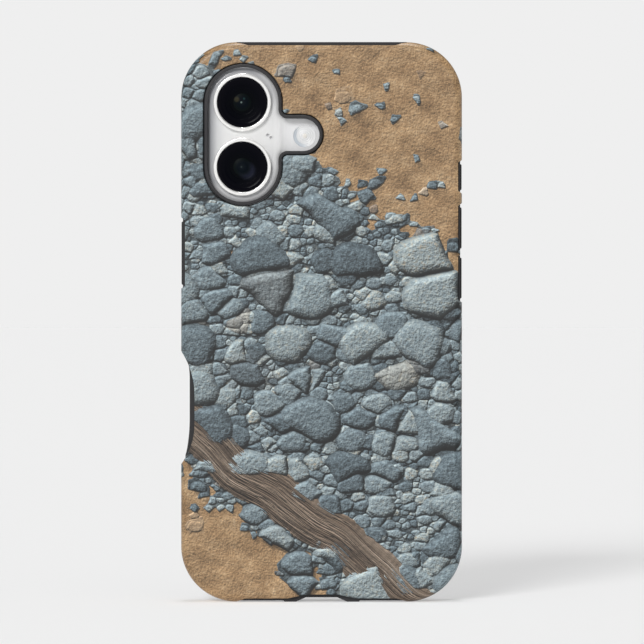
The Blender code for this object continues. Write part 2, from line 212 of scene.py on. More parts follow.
def block(low, high, radius, axis, steps=6):
    """A box between two corners, with the four edges along one axis rounded."""
    form = bmesh.new()
    bmesh.ops.create_cube(form, size=1.0)
    bmesh.ops.scale(form, verts=form.verts, vec=[b - a for a, b in zip(low, high)])
    bmesh.ops.translate(form, verts=form.verts, vec=[(a + b) / 2 for a, b in zip(low, high)])
    along = [e for e in form.edges if abs((e.verts[0].co - e.verts[1].co)[axis]) > TINY]
    bevel(form, along, radius, steps)
    return form


def carve(piece, tools, operation="DIFFERENCE"):
    """Cuts solids out of a piece, or joins them to it, one after another."""
    for tool in tools:
        other = mould("tool", tool)
        step = piece.modifiers.new("carve", "BOOLEAN")
        step.operation, step.object = operation, other
        worked = piece.evaluated_get(bpy.context.evaluated_depsgraph_get())
        mesh = bpy.data.meshes.new_from_object(worked)
        piece.modifiers.clear()
        piece.data = mesh
        bpy.data.objects.remove(other)


def smooth(piece, angle=35.0):
    """Merges doubles and shades a piece smooth, but for the edges that turn more than an angle."""
    form = bmesh.new()
    form.from_mesh(piece.data)
    bmesh.ops.remove_doubles(form, verts=form.verts, dist=TINY)
    bmesh.ops.dissolve_degenerate(form, edges=form.edges, dist=TINY)
    form.to_mesh(piece.data)
    form.free()
    piece.data.shade_smooth()
    piece.data.set_sharp_from_angle(angle=math.radians(angle))
    piece.modifiers.new("shade", "WEIGHTED_NORMAL").keep_sharp = True


def soften(piece, width, steps=2, angle=35.0):
    """Rounds a piece's sharp edges by a small radius, and shades it smooth."""
    smooth(piece, 180.0)
    edge = piece.modifiers.new("edge", "BEVEL")
    edge.width, edge.segments = width, steps
    edge.limit_method, edge.angle_limit = "ANGLE", math.radians(angle)
    edge.use_clamp_overlap = False
    piece.modifiers.move(1, 0)


def fit(piece, body, slot, *nodes):
    """Says what a piece moves with and which solids it stands for; slot, the finish, is not used."""
    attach(piece, body)
    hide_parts(*nodes)


shell_low, shell_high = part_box("case_shell")
frame_low, frame_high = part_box("phone_frame")
HALF, TALL = shell_high.x, shell_high.z
CORNER, GAP, REACH = 15.1 * MM, 0.3 * MM, 2 * MM
PHONE = HALF - frame_high.x
MID_Y = (frame_low.y + frame_high.y) / 2


def rounded(inset):
    """Corners of the case's outline, moved in by some amount."""
    x, low, high, radius = HALF - inset, inset, TALL - inset, CORNER - inset
    return [(-x, low, radius), (x, low, radius), (x, high, radius), (-x, high, radius)]


aluminium = Finish("white_aluminium", Base_Color=(0.78, 0.78, 0.77, 1), Metallic=0.5)
beads = aluminium.noise(aluminium.place, 0.12 * MM, 2.0)
aluminium.show(Roughness=0.32 + 0.08 * beads + 0.06 * aluminium.noise(aluminium.place, 9 * MM))
aluminium.bump(beads, 0.004 * MM)

PORT_WIDTH, PORT_DEPTH, PORT_REACH = 9.0 * MM, 3.2 * MM, 6.5 * MM
SOUND_X, SOUND_STEP, SOUND_RADIUS, SOUND_REACH = 12.6 * MM, 1.6 * MM, 0.5 * MM, 1.6 * MM
SOUND_HOLES, POCKET_ROUND, PORT_ROUND = 5, 1.45 * MM, 1.4 * MM


def bore(x, z, radius):
    """A round upright tool, for a hole up into the phone's bottom edge."""
    form = bmesh.new()
    bmesh.ops.create_cone(
        form, cap_ends=True, segments=24, radius1=radius, radius2=radius, depth=2 * z
    )
    bmesh.ops.translate(form, verts=form.verts, vec=(x, MID_Y, frame_low.z))
    return form


def key_pocket(name):
    """The room of a key in the frame, open to the outside."""
    low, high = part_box(name)
    start, end = low - Vector((GAP, GAP, GAP)), high + Vector((GAP, GAP, GAP))
    if high.x > 0:
        start.x, end.x = low.x - 2 * GAP, high.x + REACH
    else:
        start.x, end.x = low.x - REACH, high.x + 2 * GAP
    return block(start, end, POCKET_ROUND, 0)


KEYS = [name for name in frame["nodes"] if name.startswith("key_")]
SCREWS = [name for name in frame["nodes"] if name.startswith("screw_")]
body = mould("phone_body", prism(rounded(PHONE), frame_low.y, frame_high.y), aluminium)
tools = [key_pocket(name) for name in KEYS]
port_low = (-PORT_WIDTH / 2, MID_Y - PORT_DEPTH / 2, 0)
port_high = (PORT_WIDTH / 2, MID_Y + PORT_DEPTH / 2, frame_low.z + PORT_REACH)
tools.append(block(port_low, port_high, PORT_ROUND, 2, 8))
for i in range(SOUND_HOLES):
    for side in (-1, 1):
        tools.append(bore(side * (SOUND_X + SOUND_STEP * i), SOUND_REACH, SOUND_RADIUS))
for name in SCREWS:
    low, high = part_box(name)
    room = (high.x - low.x) / 2 + GAP
    tools.append(bore((low.x + high.x) / 2, high.z + GAP - frame_low.z, room))
carve(body, tools)
smooth(body)
fit(body, "phone_and_case", "white_aluminium", "phone_frame")


# Port tongue and screws. The tongue is black moulded plastic with gold-plated contacts. Two tiny
# polished screws beside the port hold the display in.

PITCH, STRIP, TONGUE_ROUND = 1.1 * MM, 0.2, 0.2 * MM
CONTACT_TOP = frame_low.z + 5.2 * MM
plastic = Finish("port_tongue", Roughness=0.4)
across = (plastic.x / PITCH).of("FRACT")
gold = across.rise(STRIP, STRIP + 0.05) * (1 - across.rise(1 - STRIP, 1.05 - STRIP))
gold = gold * (1 - plastic.z.rise(CONTACT_TOP, CONTACT_TOP + 0.1 * MM))
plastic.show(
    Base_Color=plastic.mix(gold, (0.02, 0.02, 0.022, 1), (0.75, 0.53, 0.22, 1)), Metallic=gold
)
tongue = mould("contact_tongue", block(*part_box("port_tongue"), TONGUE_ROUND, 1, 4), plastic)
soften(tongue, 0.08 * MM)
fit(tongue, "phone_and_case", "black_glass", "port_tongue")


def turned(profile, centre, axis, steps=96):
    """A round solid from a profile of (radius, place along the axis), spun about Y or Z."""
    form = bmesh.new()
    direction = Vector((0, 1, 0)) if axis == 1 else Vector((0, 0, 1))
    foot = Vector(centre) * (Vector((1, 1, 1)) - direction)
    verts = []
    for radius, place in profile:
        verts.append(form.verts.new(foot + Vector((radius, 0, 0)) + direction * place))
    edges = [form.edges.new(pair) for pair in zip(verts, verts[1:])]
    bmesh.ops.spin(
        form, geom=verts + edges, cent=foot, axis=direction, angle=math.tau, steps=steps,
        use_merge=True,
    )
    bmesh.ops.remove_doubles(form, verts=form.verts, dist=TINY)
    bmesh.ops.recalc_face_normals(form, faces=form.faces)
    return form


steel = Finish("polished_metal", Base_Color=(0.93, 0.925, 0.91, 1), Metallic=0.5)
steel.show(Roughness=0.14 + 0.1 * steel.noise(steel.place, 0.8 * MM))
for name in SCREWS:
    low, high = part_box(name)
    radius = (high.x - low.x) / 2
    socket, dish = 0.45 * radius, 0.25 * MM
    profile = [(0, low.z + dish), (socket, low.z + dish), (socket, low.z + 0.02 * MM)]
    profile += [(0.8 * radius, low.z), (radius, low.z + 0.15 * MM), (radius, high.z), (0, high.z)]
    screw = mould(name + "_turned", turned(profile, (low + high) / 2, 2, 48), steel)
    soften(screw, 0.03 * MM)
    fit(screw, "phone_and_case", "polished_metal", name)


# Keys of the phone. Small milled aluminium pills, anodised like the frame. Four of them sit behind
# the liner's covers, and the camera key shows in the long dip of the left side.

KEY_ROUND = 1.2 * MM
BODIES = frame["record"]["behaviour"]["bodies"]
MOVES_WITH = {node: name for name, nodes in BODIES.items() for node in nodes}
for name in KEYS:
    key = mould(name + "_pill", block(*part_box(name), KEY_ROUND, 0, 10), aluminium)
    soften(key, 0.18 * MM, 3)
    fit(key, MOVES_WITH[name], "white_aluminium", name)


# Back glass. One sheet of opaque white glass, pressed hot so that a pill-shaped plateau for the
# two cameras rises from it, with a slope that draws out towards the flash. Two tiny microphone
# holes are drilled between the cameras, and a round one is cut for the flash.

back_low, back_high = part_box("back_glass")
flash_low, flash_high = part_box("flash")
FLASH_RADIUS = (flash_high.x - flash_low.x) / 2
FLASH_X, FLASH_Z = (flash_low.x + flash_high.x) / 2, (flash_low.z + flash_high.z) / 2
PILL_X, PILL_Z, PILL_RADIUS, PILL_HALF = -21.4 * MM, 127.3 * MM, 9.57 * MM, 18.25 * MM
PLATEAU_GROW, PLATEAU_SINK, SLOPE, SLOPE_STEPS = 0.45 * MM, 0.4 * MM, math.radians(58), 8
RELAX_IN, RELAX_OUT, RELAX_FULL, RELAX_END = 1.0 * MM, 1.95 * MM, 3.6 * MM, 6.4 * MM
RELAX_STEPS, TINT_STEEP, TINT_DEEP = 12, 0.40, 5.6 * MM
FLANK_START, FLANK_FULL = 8.1 * MM, 9.0 * MM
EAR_END, EAR_HALF = -0.66 * MM, 4.36 * MM
SHEET_Y, SHEET_INSET, GLASS_ROUND = flash_low.y, PHONE + 0.4 * MM, 0.3 * MM
MICROPHONES = ((-14.65 * MM, 127.2 * MM), (-13.75 * MM, 126.5 * MM))
MICROPHONE_RADIUS, MICROPHONE_DEEP, DRILL_PLAY = 0.46 * MM, 0.7 * MM, 0.02 * MM


def pill(grow):
    """Corners of the upright pill round the cameras, grown by some amount."""
    x, z, radius = PILL_RADIUS + grow, PILL_HALF + grow, PILL_RADIUS + grow
    left, right, low, high = PILL_X - x, PILL_X + x, PILL_Z - z, PILL_Z + z
    return [(left, low, radius), (right, low, radius), (right, high, radius), (left, high, radius)]


def arc(radius, turn=math.pi / 2, steps=6):
    """Steps round part of a circle as (along, across), which starts along."""
    turns = [turn * i / steps for i in range(steps + 1)]
    spots = [(radius * math.sin(a), radius * (1 - math.cos(a))) for a in turns]
    return [(b[0] - a[0], b[1] - a[1]) for a, b in zip(spots, spots[1:])]


def terrace(form, steps, side=-1):
    """Raises the face furthest to one side along Y by steps of (amount moved in, amount raised)."""
    face = max(form.faces, key=lambda f: side * f.calc_center_median().y)
    for inward, rise in steps:
        bmesh.ops.inset_region(
            form, faces=[face], thickness=max(inward, 1e-7), depth=rise, use_even_offset=True
        )


def plateau(grow):
    """The rise under the cameras, whose slope draws out where it runs down to the flash."""
    bend = (SHEET_Y - back_low.y) / 2 / (1 - math.cos(SLOPE))
    run = bend * math.sin(SLOPE)
    outline = pill(PLATEAU_GROW + grow + run)
    edge = outline[1][0]
    crest = edge - 2 * run
    places = [RELAX_END * i / RELAX_STEPS for i in range(-RELAX_STEPS, RELAX_STEPS + 1)]
    outline[2:2] = [(edge, PILL_Z + place, 0.0) for place in places]
    form = prism(outline, SHEET_Y, SHEET_Y + PLATEAU_SINK)
    foot = arc(bend, SLOPE, SLOPE_STEPS)
    terrace(form, foot + foot[::-1])
    for vert in form.verts:
        near = (RELAX_END - abs(vert.co.z - PILL_Z)) / (RELAX_END - RELAX_FULL)
        near = min(max(near, 0.0), 1.0)
        share = near * near * (3 - 2 * near)
        down = (vert.co.x - crest) / (edge - crest)
        if down > -TINY:
            vert.co.x += share * ((RELAX_IN + RELAX_OUT) * down - RELAX_IN)
    return form


def plug(x, z, radius, low_y, high_y):
    """A round tool along Y, for a hole in the back."""
    return turned([(0, low_y), (radius, low_y), (radius, high_y), (0, high_y)], (x, 0, z), 1, 64)


white = Finish("white_glass", Coat_Roughness=0.05)
past = ((white.z - PILL_Z).of("ABSOLUTE") - (PILL_HALF - PILL_RADIUS)).of("MAXIMUM", 0.0)
inside = PILL_RADIUS - white.vector("LENGTH", white.join(white.x - PILL_X, 0.0, past))
# Painted light: a thin band along the plateau's edge, on its right-hand side and at its foot, is
# painted lighter.
right_side = white.x.rise(PILL_X + 2 * MM, PILL_X + 6 * MM)
foot_side = (PILL_Z - white.z).rise(12 * MM, 15 * MM)
edge_light = right_side.of("MAXIMUM", foot_side) * (1 - inside.rise(0.7 * MM, 1.6 * MM))
sideways = (white.x - (EAR_END - EAR_HALF)).of("MAXIMUM", (PILL_X - white.x) * 2)
sideways = sideways.of("MAXIMUM", 0.0)
from_ear = white.vector("LENGTH", white.join(sideways, 0.0, white.z - PILL_Z))
inside = inside.of("SMOOTH_MAX", TINT_DEEP - TINT_STEEP * from_ear, 1.0 * MM)
raised = 1 - white.y.rise(back_low.y, SHEET_Y)
slant = 4 * raised * (1 - raised)
# Painted light: the slope that runs down to the flash is painted lighter than the glass round it.
lit_flank = slant * (1 - from_ear.rise(RELAX_FULL, RELAX_END))
lit_flank = lit_flank * white.x.rise(PILL_X + FLANK_START, PILL_X + FLANK_FULL)
# Painted shade: the glass is painted darker the closer it lies to the edge of the camera opening,
# where the rubber rim shades it, and stays lighter further along towards the flash.
tint_with_painted_shade = white.ramp(inside / (5 * MM), [
    (0.0, (0.20, 0.205, 0.22)), (0.2, (0.33, 0.335, 0.35)), (0.5, (0.60, 0.605, 0.61)),
    (0.8, (0.70, 0.70, 0.70)), (1.0, (0.735, 0.735, 0.73)),
])
# Painted light along the right-hand and lower edges of the plateau.
tint_with_painted_shade = white.mix(0.45 * edge_light, tint_with_painted_shade, (0.86, 0.86, 0.86, 1))
tint_with_painted_shade = white.mix(raised, (0.81, 0.81, 0.815, 1), tint_with_painted_shade)
# Painted light on the slope to the flash.
tint_with_painted_shade = white.mix(lit_flank, tint_with_painted_shade, (0.90, 0.90, 0.90, 1))
# Painted shade: each microphone hole and a thin ring round it are painted grey, as the shade inside
# the hole.
for x, z in MICROPHONES:
    hole_shade = 1 - white.off(x, z).rise(0.6 * MICROPHONE_RADIUS, 1.15 * MICROPHONE_RADIUS)
    tint_with_painted_shade = white.mix(hole_shade, tint_with_painted_shade, (0.60, 0.60, 0.61, 1))
white.show(Base_Color=tint_with_painted_shade, Roughness=0.16 + 0.34 * slant, Coat_Weight=0.3 - 0.3 * slant)
white.bump(white.noise(white.place, 3 * MM, 1.0), 0.003 * MM)

sheet = round_rim(prism(rounded(SHEET_INSET), SHEET_Y, back_high.y), SHEET_Y, GLASS_ROUND, 4)
glass = mould("back_glass_sheet", sheet, white)
carve(glass, [plateau(0.0)], "UNION")
low_y, high_y = SHEET_Y - REACH, back_high.y + REACH
drills = [plug(FLASH_X, FLASH_Z, FLASH_RADIUS + DRILL_PLAY, low_y, high_y)]
low_y, high_y = back_low.y - REACH, back_low.y + MICROPHONE_DEEP
for x, z in MICROPHONES:
    drills.append(plug(x, z, MICROPHONE_RADIUS, low_y, high_y))
carve(glass, drills)
smooth(glass)
fit(glass, "phone_and_case", "white_glass", "back_glass")


# Cameras. Two turned rings of polished metal stand on the plateau. Each holds a black cover glass
# over stepped baffles and a domed front element. The coating's coloured reflections and a bright
# dot on the glass are painted reflections and a painted highlight.

PLACES, RING_GROW, RING_EDGE = ("upper", "lower"), 0.1 * MM, 0.22 * MM
black = Finish("lens_glass", Specular_IOR_Level=0.03)
for place in PLACES:
    low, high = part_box("lens_glass_" + place)
    ring_low, ring_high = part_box("lens_ring_" + place)
    centre = (low + high) / 2
    outer = (ring_high.x - ring_low.x) / 2 + RING_GROW
    inner = (high.x - low.x) / 2 + RING_GROW
    base, top, edge = back_low.y, ring_low.y, RING_EDGE
    profile = [(inner, base), (inner, top + edge), (inner + 0.5 * edge, top), (outer - edge, top)]
    profile += [(outer, top + edge), (outer, base), (inner, base)]
    ring = mould("camera_ring_" + place, turned(profile, centre, 1, 128), steel)
    soften(ring, 0.07 * MM, 2, 20.0)
    fit(ring, "phone_and_case", "polished_metal", "lens_ring_" + place)

    radius, front, back = (high.x - low.x) / 2, low.y, back_low.y
    baffles = [(0, 0.12), (1.2, 0.16), (2.3, 0.3), (2.4, 0.35), (3.3, 0.35), (3.5, 0.25)]
    baffles += [(4.6, 0.25), (4.7, 0.15), (5.6, 0.15), (5.8, 0.05)]
    profile = [(r * MM, front + deep * MM) for r, deep in baffles]
    profile += [(radius - 0.2 * MM, front), (radius, front + 0.15 * MM), (radius, back), (0, back)]
    lens = mould("camera_lens_" + place, turned(profile, centre, 1, 128), black)
    soften(lens, 0.04 * MM, 2, 25.0)
    fit(lens, "phone_and_case", "black_glass", "lens_glass_" + place)

LENS_X = centre.x
LENS_Z = [sum(corner.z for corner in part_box("lens_glass_" + place)) / 2 for place in PLACES]
higher = (black.z - sum(LENS_Z) / 2).rise(-TINY, TINY)
level = LENS_Z[1] + (LENS_Z[0] - LENS_Z[1]) * higher


def glint(right, up, radius):
    """A soft round spot, some way right of and above the middle of each lens, for a painted
    reflection.
    """
    return 1 - black.off(LENS_X + right, level + up).rise(0.5 * radius, 1.2 * radius)


away = black.off(LENS_X, level)
tone_and_reflections = black.ramp(away / (7 * MM), [
    (0.0, (0.006, 0.009, 0.012)), (0.16, (0.002, 0.004, 0.007)), (0.33, (0.003, 0.005, 0.005)),
    (0.36, (0.0015, 0.002, 0.003)), (0.66, (0.0015, 0.0017, 0.0035)), (0.9, (0.003, 0.003, 0.005)),
])
# Painted reflections: a violet crescent on the lower lens, an olive and a teal spot on the upper one,
# and a painted highlight dot on both.
violet_reflection = glint(1.3 * MM, -1.0 * MM, 2.4 * MM) * (1 - glint(0.2 * MM, -0.1 * MM, 2.4 * MM))
tone_and_reflections = black.mix(violet_reflection * (1 - higher), tone_and_reflections, (0.012, 0.014, 0.025, 1))
tone_and_reflections = black.mix(glint(-1.5 * MM, 0.8 * MM, 0.8 * MM) * higher, tone_and_reflections, (0.026, 0.024, 0.014, 1))
tone_and_reflections = black.mix(glint(0.5 * MM, 1.0 * MM, 0.35 * MM) * higher, tone_and_reflections, (0.012, 0.030, 0.032, 1))
highlight_dot = glint(-0.25 * MM, 0.0, 0.28 * MM) * (0.15 + 0.85 * higher)
tone_and_reflections = black.mix(highlight_dot, tone_and_reflections, (0.12, 0.16, 0.15, 1))
polish = 0.15 * away.rise(2.3 * MM, 2.5 * MM) + 0.19 * away.rise(5.7 * MM, 5.9 * MM)
black.show(Base_Color=tone_and_reflections, Roughness=0.40 - polish)


# Flash. A moulded clear lens over a warm light emitter, with fine rings that spread the light.

RING_PITCH, GROOVES = 0.55 * MM, 12
diffuser = Finish("flash_lens", Roughness=0.34, Coat_Weight=0.15, Coat_Roughness=0.2)
away = diffuser.off(FLASH_X, FLASH_Z)
rings = (away * (math.tau / RING_PITCH)).of("SINE")
warm = 1 - away.rise(0.2 * MM, 1.0 * MM)
tint_with_painted_shade = diffuser.mix(warm, (0.84, 0.845, 0.845, 1), (0.88, 0.84, 0.77, 1))
tint_with_painted_shade = diffuser.mix(0.08 + 0.08 * rings, tint_with_painted_shade, (0.45, 0.46, 0.48, 1))
# Painted shade: a blue-grey crescent is painted on the lower left of the flash's outer ring.
lower_left = (FLASH_X - diffuser.x) + 0.5 * (FLASH_Z - diffuser.z)
lower_left = lower_left.rise(0.0, 0.8 * FLASH_RADIUS)
edge_ring = away.rise(0.62 * FLASH_RADIUS, 0.80 * FLASH_RADIUS)
tint_with_painted_shade = diffuser.mix(0.75 * lower_left * edge_ring, tint_with_painted_shade, (0.50, 0.56, 0.62, 1))
diffuser.show(Base_Color=tint_with_painted_shade)
front, back = flash_low.y, flash_high.y
profile = [(0, front + 0.1 * MM)]
for i in range(1, GROOVES):
    deep = 0.12 + 0.08 * (i % 2) + 0.25 * math.sin(math.pi * i / GROOVES)
    profile.append((FLASH_RADIUS * i / GROOVES, front + deep * MM))
profile += [(FLASH_RADIUS - 0.15 * MM, front + 0.02 * MM), (FLASH_RADIUS, front + 0.1 * MM)]
profile += [(FLASH_RADIUS, back), (0, back)]
lamp = mould("flash_lamp", turned(profile, (FLASH_X, 0, FLASH_Z), 1, 96), diffuser)
soften(lamp, 0.05 * MM, 3, 25.0)
fit(lamp, "phone_and_case", "flash_lens", "flash")


# Display. A sheet of black glass with a softly rounded edge over a dark, switched-off screen. It has
# a narrow sound slot at the top and a small round window for the front camera.

screen_low, screen_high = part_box("display_glass")
BORDER, WINDOW_RADIUS, WINDOW_DROP = 2.2 * MM, 2.0 * MM, 6.5 * MM
SLOT_HALF, SLOT_THICK, SLOT_DROP, SLOT_DEEP = 5.5 * MM, 0.3 * MM, 1.45 * MM, 0.4 * MM
SLOT_ROUND = 0.145 * MM
screen = Finish("display_glass", Roughness=0.05, Specular_IOR_Level=0.3)
panel_round = CORNER - SHEET_INSET - BORDER
past_x = (screen.x.of("ABSOLUTE") - (HALF - CORNER)).of("MAXIMUM", 0.0)
past_z = ((screen.z - TALL / 2).of("ABSOLUTE") - (TALL / 2 - CORNER)).of("MAXIMUM", 0.0)
from_corner = screen.vector("LENGTH", screen.join(past_x, 0.0, past_z))
panel_lit = 1 - from_corner.rise(panel_round - 0.04 * MM, panel_round + 0.04 * MM)
window_z = screen_high.z - WINDOW_DROP
away = screen.off(0.0, window_z)
window = 1 - away.rise(WINDOW_RADIUS, WINDOW_RADIUS + 0.06 * MM)
panel = screen.mix(panel_lit, (0.004, 0.004, 0.0045, 1), (0.011, 0.012, 0.015, 1))
eye = screen.ramp(away / WINDOW_RADIUS, [
    (0.0, (0.012, 0.016, 0.03)), (0.3, (0.004, 0.005, 0.012)), (0.42, (0.012, 0.012, 0.014)),
    (0.46, (0.001, 0.001, 0.001)),
])
smear = screen.noise(screen.place, 14 * MM, 4.0, 0.6)
screen.show(Base_Color=screen.mix(window, panel, eye), Roughness=0.04 + 0.05 * smear)
sheet = prism(rounded(SHEET_INSET), screen_low.y, screen_high.y)
display = mould("display_sheet", round_rim(sheet, screen_high.y, GLASS_ROUND, 4), screen)
slot_z = screen_high.z - SLOT_DROP
slot_low = (-SLOT_HALF, screen_high.y - SLOT_DEEP, slot_z - SLOT_THICK / 2)
slot_high = (SLOT_HALF, screen_high.y + REACH, slot_z + SLOT_THICK / 2)
carve(display, [block(slot_low, slot_high, SLOT_ROUND, 1)])
smooth(display)
fit(display, "phone_and_case", "black_glass", "display_glass")


# Rubber liner. Injection-moulded soft black rubber that the phone is pushed into: a back wall with a
# raised rim round the cameras, a side wall, a lip in front of the screen and slots for the sound
# holes and the port. Bands and plinths of it reach the outline where the hard shell leaves it bare.

liner_low, liner_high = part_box("case_liner")
LINER_INSET, LINER_REAR, LINER_FLOOR = 1.2 * MM, -4.2 * MM, -3.2 * MM
LIP_Y, LIP_INSET, LIP_OVERLAP, LIP_ROUND = 4.7 * MM, 0.9 * MM, 0.8 * MM, 0.4 * MM
FILLET, RIM_WIDTH, RIM_ROUND, RIM_IN = 2.5 * MM, 1.3 * MM, 0.4 * MM, 0.1 * MM
RIM_SINK = 0.5 * MM
PLATEAU_ROOM_Y, LINER_FRONT = back_low.y - GAP, LIP_Y + 0.2 * MM
DIP_POWER, DIP_STEPS, LINER_DIP = 2.2, 16, 2.35 * MM
LINER_ENDS = (39.7 * MM, 11.0 * MM, 67.8 * MM, 7.2 * MM)
BARE, BRIDGE, RAMP = 1.1 * MM, 0.5 * MM, 2.2 * MM
BULGE_ROOT, SEAM = 0.6 * MM, 0.03 * MM
TOP_HALF, TOP_BARE, TOP_RUN = 20.0 * MM, 0.93 * MM, 3.2 * MM
PORT_FLAT, PORT_LIP, FOOT_IN, FOOT_OUT = 4.3 * MM, 0.3 * MM, 7.0 * MM, 10.1 * MM
FOOT_HALF, FOOT_BARE, FOOT_RUN, RECESS = 20.6 * MM, 0.96 * MM, 2.8 * MM, 0.38 * MM
COVERS = [name for name in frame["nodes"] if name.startswith("cover_")]
up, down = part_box("cover_volume_up"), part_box("cover_volume_down")
action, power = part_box("cover_action"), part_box("cover_power")
KEY_SLOT_LOW, KEY_SLOT_HIGH, KEY_SLOT_HALF = 41.0 * MM, 67.1 * MM, 4.4 * MM
COVER_ROOM_ROUND, KEY_SLOT_ROUND = 1.4 * MM, 1.0 * MM
MOUTHS = ((0.0, 6.6 * MM, 2.3 * MM), (15.8 * MM, 4.6 * MM, 1.3 * MM), (-15.8 * MM, 4.6 * MM, 1.3 * MM))


def camera_opening(grow):
    """Corners of the camera opening, a pill with an ear for the flash, grown by some amount."""
    left, low, radius = PILL_X - PILL_RADIUS - grow, PILL_Z - PILL_HALF - grow, PILL_RADIUS + grow
    right, high = PILL_X + PILL_RADIUS + grow, PILL_Z + PILL_HALF + grow
    ear, half, inner = EAR_END + grow, EAR_HALF + grow, FILLET - grow
    ear_low, ear_high = PILL_Z - half, PILL_Z + half
    return [
        (left, low, radius), (right, low, radius), (right, ear_low, inner), (ear, ear_low, half),
        (ear, ear_high, half), (right, ear_high, inner), (right, high, radius), (left, high, radius),
    ]


def along(side, stations, low_y, high_y, radius=0.0):
    """A prism on one side of the case, from (place, depth in from the outline) stations."""
    corners = []
    for place, depth in stations:
        x, z = {
            "left": (depth - HALF, place), "right": (HALF - depth, place),
            "bottom": (place, depth), "top": (place, TALL - depth),
        }[side]
        corners.append((x, z, radius))
    return prism(corners, low_y, high_y)


def dip(base, depth, low, low_run, high, high_run):
    """Stations of the long dip beside the camera key, steep where it starts and flat in its floor."""
    shares = [i / DIP_STEPS for i in range(DIP_STEPS + 1)]
    fall = [base + (depth - base) * (1 - (1 - share) ** DIP_POWER) for share in shares]
    below = [(low + low_run * share, d) for share, d in zip(shares, fall)]
    above = [(high - high_run * share, d) for share, d in zip(shares, fall)]
    return [(low, -REACH), *below, *above[::-1], (high, -REACH)]


def plinth(side, low, high, low_run, high_run):
    """Rubber round a cover, which fills what the shell leaves bare and slants at its ends."""
    low, high = low - GAP + SEAM, high + GAP - SEAM
    stations = [(low - low_run, BRIDGE), (low, BARE), (low, root)]
    stations += [(high, root), (high, BARE), (high + high_run, BRIDGE)]
    return along(side, stations, LINER_REAR, LINER_FRONT)


rubber = Finish("black_rubber")
pores = rubber.noise(rubber.place, 0.16 * MM, 3.0, 0.6)
drift = rubber.noise(rubber.place, 11 * MM, 2.0)
rubber.show(
    Base_Color=rubber.ramp(drift, [(0.3, (0.0145, 0.014, 0.0158)), (0.7, (0.020, 0.019, 0.0215))]),
    Roughness=0.56 + 0.14 * pores,
)
rubber.bump(pores, 0.012 * MM)

liner = mould("rubber_liner", prism(rounded(LINER_INSET), LINER_REAR, LINER_FRONT), rubber)
wall_dip = dip(LINER_INSET, LINER_DIP, *LINER_ENDS)
carve(liner, [along("left", wall_dip, LINER_REAR - REACH, liner_high.y + REACH)])
lip = mould("lip", prism(rounded(LIP_INSET), LIP_Y, liner_high.y))
port_dip = [(PORT_FLAT, PORT_LIP), (FOOT_IN, PORT_LIP), (FOOT_IN, -REACH)]
port_dip += [(-place, depth) for place, depth in port_dip[::-1]]
lip_dip = dip(LIP_INSET, LINER_DIP, *LINER_ENDS)
lip_cuts = [along("left", lip_dip, LIP_Y - REACH, liner_high.y + REACH)]
lip_cuts.append(along("bottom", port_dip, LIP_Y - REACH, liner_high.y + REACH))
lip_cuts.append(prism(rounded(PHONE + LIP_OVERLAP), LIP_Y - REACH, liner_high.y + REACH))
carve(lip, lip_cuts)
lip_form = bmesh.new()
lip_form.from_mesh(lip.data)
bmesh.ops.remove_doubles(lip_form, verts=lip_form.verts, dist=TINY)
bpy.data.objects.remove(lip)
rim = prism(camera_opening(RIM_WIDTH - GAP), liner_low.y, LINER_FLOOR - RIM_SINK)
root = LINER_INSET + BULGE_ROOT
top_band = [(-TOP_HALF, root), (-TOP_HALF, TOP_BARE), (-TOP_HALF - TOP_RUN, 0)]
top_band += [(-place, depth) for place, depth in top_band[::-1]]
foot_band = [(PORT_FLAT, LINER_INSET), (FOOT_IN, 0), (FOOT_OUT, 0), (FOOT_OUT + RECESS, RECESS)]
foot_band.append((FOOT_HALF + FOOT_RUN * (1 - RECESS / FOOT_BARE), RECESS))
foot_band += [(FOOT_HALF, FOOT_BARE), (FOOT_HALF, root), (PORT_FLAT, root)]
other_band = [(-place, depth) for place, depth in foot_band]
joined = [round_rim(lip_form, liner_high.y, LIP_ROUND, 4)]
joined.append(round_rim(rim, liner_low.y, RIM_ROUND, 4))
for side, band in (("top", top_band), ("bottom", foot_band), ("bottom", other_band)):
    joined.append(along(side, band, LINER_REAR, LINER_FRONT))
slant = RAMP * (BARE - BRIDGE) / (BARE + REACH)
joined.append(plinth("left", power[0].z, power[1].z, slant, slant))
joined.append(plinth("right", action[0].z, action[1].z, slant, slant))
joined.append(plinth("right", up[0].z, up[1].z, GAP, slant))
joined.append(plinth("right", down[0].z, down[1].z, slant, GAP))
carve(liner, joined, "UNION")

cuts = [prism(rounded(PHONE - GAP), LINER_FLOOR, screen_high.y + GAP)]
cuts.append(prism(pill(PLATEAU_GROW + 2 * GAP), PLATEAU_ROOM_Y, LINER_FLOOR + GAP))
slope_room = plateau(GAP)
bmesh.ops.translate(slope_room, verts=slope_room.verts, vec=(0, -GAP, 0))
cuts.append(slope_room)
cuts.append(prism(camera_opening(RIM_IN), liner_low.y - REACH, MID_Y))
for name in COVERS:
    low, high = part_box(name)
    low, high = low - Vector((REACH, GAP, GAP)), high + Vector((REACH, GAP, GAP))
    cuts.append(block(low, high, COVER_ROOM_ROUND, 0, 8))
low = (frame_low.x - 2 * REACH, MID_Y - KEY_SLOT_HALF, KEY_SLOT_LOW)
high = (frame_low.x, MID_Y + KEY_SLOT_HALF, KEY_SLOT_HIGH)
cuts.append(block(low, high, KEY_SLOT_ROUND, 0, 8))
for middle, half, deep in MOUTHS:
    low = (middle - half, MID_Y - deep, -REACH)
    high = (middle + half, MID_Y + deep, PHONE + REACH)
    cuts.append(block(low, high, 0.9 * deep, 2, 8))
carve(liner, cuts)
smooth(liner)
fit(liner, "phone_and_case", "black_rubber", "case_liner")


# Key covers. Raised pills of the same rubber, moulded with the liner, whose thin edges let them sink
# in when a finger presses them on to the phone's keys.

